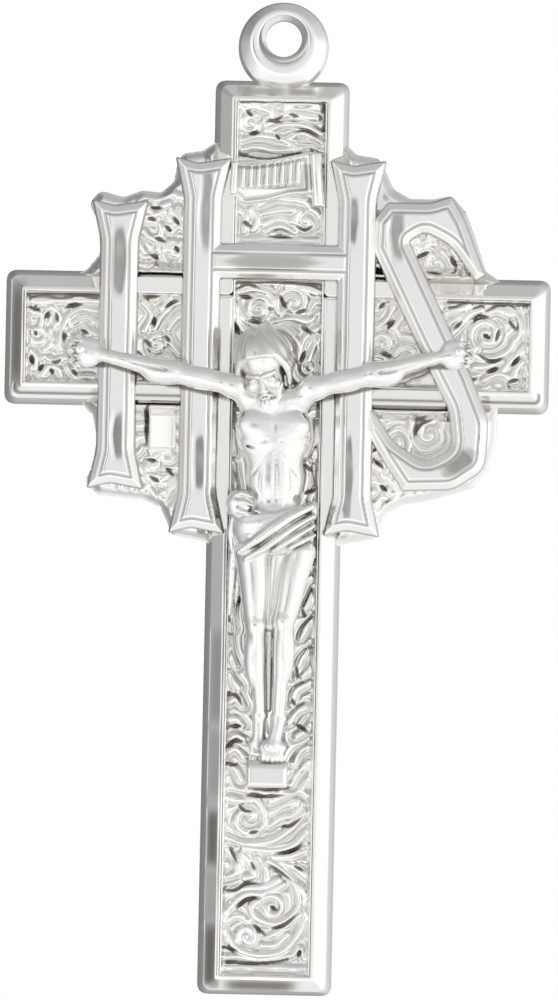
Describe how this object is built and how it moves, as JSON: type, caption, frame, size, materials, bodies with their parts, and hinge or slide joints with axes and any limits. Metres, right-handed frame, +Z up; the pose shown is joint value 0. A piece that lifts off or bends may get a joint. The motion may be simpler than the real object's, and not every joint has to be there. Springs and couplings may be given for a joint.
{
  "type": "crucifix pendant",
  "caption": "Small polished silver Latin crucifix pendant with bevelled border, relief scroll panels, layered Christogram, corpus, scroll and fixed suspension eye.",
  "frame": {"origin": "centre of the hole in the suspension eye, at half the eye's thickness", "axes": "+Z up the shaft to the eye, +X to the viewer's right, front face towards -Y"},
  "size_m": [0.0262, 0.0042, 0.0475],
  "materials": {
    "cross_silver": "sterling silver, bright polished bevels, faint buffing marks",
    "panel_silver": "sterling silver, relief scrollwork, slightly dulled in its recesses",
    "web_silver": "sterling silver, fine relief scrollwork, slightly dulled in its recesses",
    "letter_silver": "sterling silver, mirror polished",
    "corpus_silver": "sterling silver, softly polished, dulled in the folds",
    "scroll_silver": "sterling silver, polished, with reeded strokes",
    "eye_silver": "sterling silver, mirror polished",
    "fastener_silver": "sterling silver, polished"
  },
  "bodies": {
    "root": {"cross_body": "cross_silver", "panel_top": "panel_silver", "panel_shaft": "panel_silver", "panel_left_arm": "panel_silver", "panel_right_arm": "panel_silver", "web_upper_left": "web_silver", "web_lower_left": "web_silver", "web_upper_right": "web_silver", "web_lower_right": "web_silver", "monogram_i": "letter_silver", "monogram_h": "letter_silver", "monogram_s": "letter_silver", "corpus": "corpus_silver", "footrest": "corpus_silver", "titulus_scroll": "scroll_silver", "suspension_eye": "eye_silver", "nail_left_hand": "fastener_silver", "nail_right_hand": "fastener_silver", "nail_feet": "fastener_silver", "monogram_pins": "fastener_silver", "titulus_pins": "fastener_silver"}
  },
  "joints": []
}
